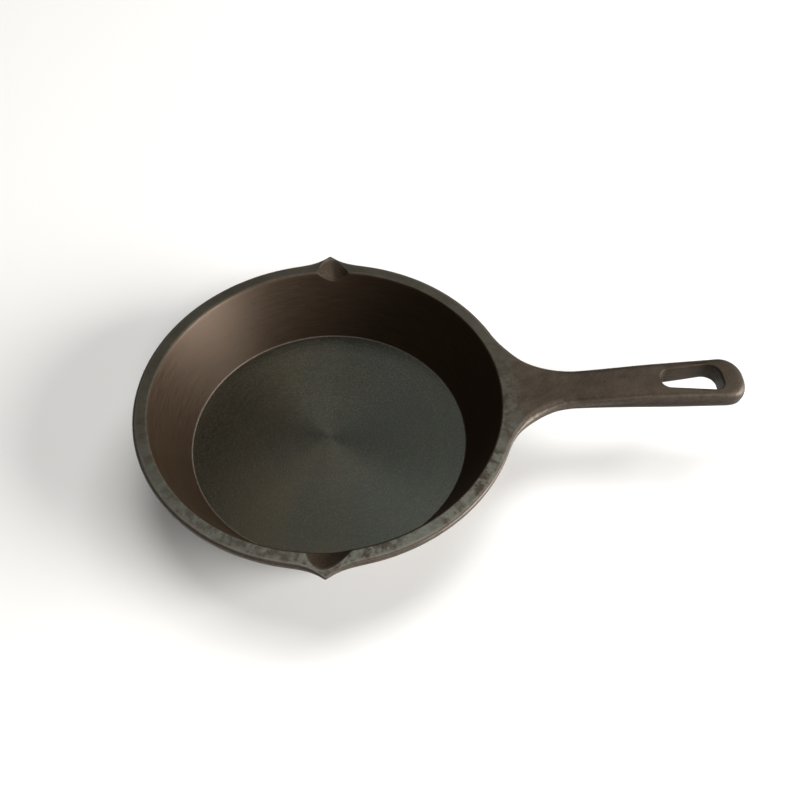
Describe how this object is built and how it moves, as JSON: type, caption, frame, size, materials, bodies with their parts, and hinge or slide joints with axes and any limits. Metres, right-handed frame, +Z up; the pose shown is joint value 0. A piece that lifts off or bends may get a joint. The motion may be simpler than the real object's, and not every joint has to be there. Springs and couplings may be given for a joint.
{
  "type": "cast iron skillet",
  "caption": "Small round cast iron skillet with a flared wall, flat rim, opposed pour spouts and a one-hand handle that ends in a hanging hole.",
  "frame": {"origin": "centre of the bowl's flat underside, on the surface that the skillet stands on", "axes": "+Z up out of the bowl, +X from the bowl's centre along the handle, so the spouts point along +Y and -Y"},
  "size_m": [0.2605, 0.1732, 0.0404],
  "materials": {
    "turned_cooking_floor": "Grey-green dark iron, turned on a lathe: fine concentric tool marks under a thin oil seasoning, satin.",
    "seasoned_cast_iron": "Warm brown-grey seasoned iron, fine sand-cast grain, satin, a little brighter where edges are ground or rubbed."
  },
  "bodies": {
    "root": {"pan_floor": "turned_cooking_floor", "side_wall": "seasoned_cast_iron", "pour_spout_left": "seasoned_cast_iron", "pour_spout_right": "seasoned_cast_iron", "handle_root": "seasoned_cast_iron", "handle_neck": "seasoned_cast_iron", "hanging_eye": "seasoned_cast_iron"}
  },
  "joints": []
}
